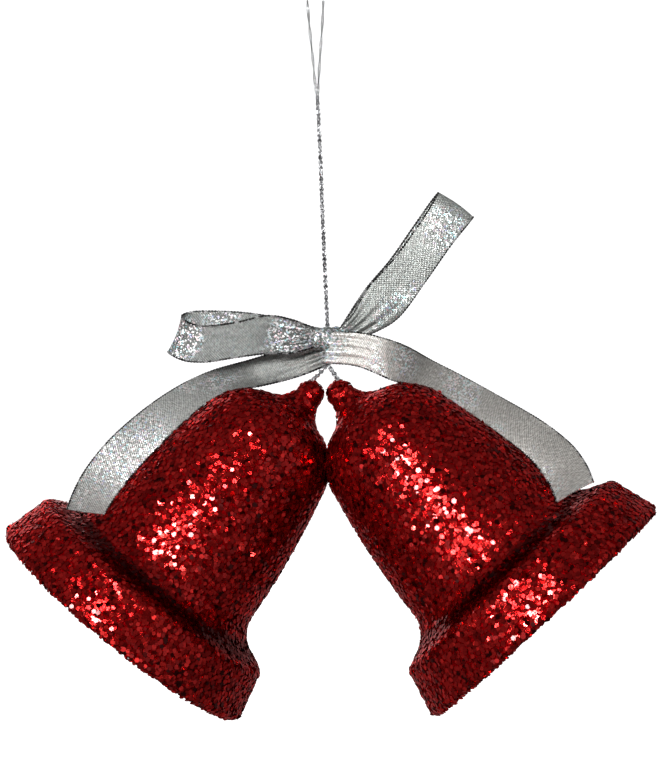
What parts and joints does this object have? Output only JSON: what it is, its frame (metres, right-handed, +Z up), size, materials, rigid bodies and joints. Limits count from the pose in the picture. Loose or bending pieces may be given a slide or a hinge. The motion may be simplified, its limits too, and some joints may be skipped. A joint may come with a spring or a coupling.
{
  "type": "hanging double bell ornament",
  "caption": "Pair of red glittered bells with clappers, hung on cords under a silver ribbon bow, with a looped cord to hang it from a hook or branch.",
  "frame": {"origin": "top of the hanging loop, where the hook or branch carries it", "axes": "+X to the right, +Y away from the viewer, +Z up"},
  "size_m": [0.1603, 0.0838, 0.1918],
  "materials": {
    "silver_cord": "satin",
    "ribbon": "satin",
    "bell_foam": "matte",
    "glitter": "gloss",
    "bead": "gloss"
  },
  "bodies": {
    "hanger": {"hanging_cord": "silver_cord"},
    "bow": {"bow_knot": "ribbon", "cord_knot": "silver_cord", "bow_left_loop": "ribbon", "bow_right_loop": "ribbon", "left_tail_root": "ribbon", "right_tail_root": "ribbon"},
    "left_leg": {"left_leg_cord": "silver_cord"},
    "left_bell": {"left_bell_shell": "bell_foam", "left_glitter_coat": "glitter", "left_crown_cord": "silver_cord"},
    "left_clapper": {"left_clapper_cord": "silver_cord", "left_clapper_bead": "bead", "left_clapper_end_knot": "silver_cord"},
    "left_tail": {"left_tail": "ribbon"},
    "right_leg": {"right_leg_cord": "silver_cord"},
    "right_bell": {"right_bell_shell": "bell_foam", "right_glitter_coat": "glitter", "right_crown_cord": "silver_cord"},
    "right_clapper": {"right_clapper_cord": "silver_cord", "right_clapper_bead": "bead", "right_clapper_end_knot": "silver_cord"},
    "right_tail": {"right_tail": "ribbon"}
  },
  "joints": [
    {"name": "ornament_twist", "type": "hinge", "parent": "hanger", "child": "bow", "pos_m": [0.0033, 0, -0.09393], "axis": [0, 0, 1], "range_deg": [-180, 180]},
    {"name": "left_fore_aft_swing", "type": "hinge", "parent": "bow", "child": "left_leg", "pos_m": [0.0033, 0, -0.10353], "axis": [1, 0, 0], "range_deg": [-15, 15]},
    {"name": "left_bell_lift", "type": "hinge", "parent": "left_leg", "child": "left_bell", "pos_m": [-0.00095, 0, -0.10763], "axis": [0, 1, 0], "range_deg": [0, 15]},
    {"name": "left_tail_lift", "type": "hinge", "parent": "left_leg", "child": "left_tail", "pos_m": [-0.00095, 0, -0.10763], "axis": [0, 1, 0], "range_deg": [0, 15]},
    {"name": "left_clapper_swing", "type": "hinge", "parent": "left_bell", "child": "left_clapper", "pos_m": [-0.01088, 0, -0.123], "axis": [0, 1, 0], "range_deg": [0, 38]},
    {"name": "right_fore_aft_swing", "type": "hinge", "parent": "bow", "child": "right_leg", "pos_m": [0.0033, 0, -0.10353], "axis": [1, 0, 0], "range_deg": [-15, 15]},
    {"name": "right_bell_lift", "type": "hinge", "parent": "right_leg", "child": "right_bell", "pos_m": [0.0063, -0.00061, -0.10759], "axis": [0, -0.989, 0.1478], "range_deg": [0, 18]},
    {"name": "right_tail_lift", "type": "hinge", "parent": "right_leg", "child": "right_tail", "pos_m": [0.0063, -0.00061, -0.10759], "axis": [0, -0.989, 0.1478], "range_deg": [0, 18]},
    {"name": "right_clapper_swing", "type": "hinge", "parent": "right_bell", "child": "right_clapper", "pos_m": [0.01696, -0.00278, -0.12215], "axis": [0, -0.989, 0.1478], "range_deg": [0, 38]}
  ],
  "couplings": [
    {"joint": "left_tail_lift", "follows": "left_bell_lift", "ratio": 1},
    {"joint": "right_tail_lift", "follows": "right_bell_lift", "ratio": 1}
  ]
}
